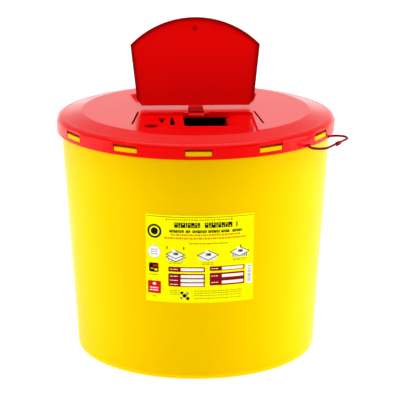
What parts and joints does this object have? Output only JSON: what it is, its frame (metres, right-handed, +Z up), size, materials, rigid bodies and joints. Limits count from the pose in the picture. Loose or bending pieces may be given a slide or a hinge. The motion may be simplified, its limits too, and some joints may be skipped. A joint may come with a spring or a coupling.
{
  "type": "sharps container",
  "caption": "Tapered round sharps container with a clip-on lid, drop-in apertures, a hinged flap, a pull loop and a front label.",
  "frame": {"origin": "on the floor, on the bucket's axis, at the centre of the ring that it stands on", "axes": "+Z up along the bucket's axis; -Y towards the front, where the label, the apertures and the closed flap are; +X towards the side with the pull loop"},
  "size_m": [0.2782, 0.27, 0.3245],
  "materials": {
    "bucket_plastic": "smooth moulded polypropylene, slightly translucent",
    "lid_plastic": "smooth moulded polypropylene",
    "label_film": "printed self-adhesive film"
  },
  "bodies": {
    "container": {"bucket": "bucket_plastic", "lid": "lid_plastic", "pull_loop": "lid_plastic", "label": "label_film"},
    "cover_flap": {"flap": "lid_plastic"}
  },
  "joints": [
    {"name": "flap_hinge", "type": "hinge", "parent": "container", "child": "cover_flap", "pos_m": [0, -0.0025, 0.2349], "axis": [1, 0, 0], "range_deg": [0, 100]}
  ]
}
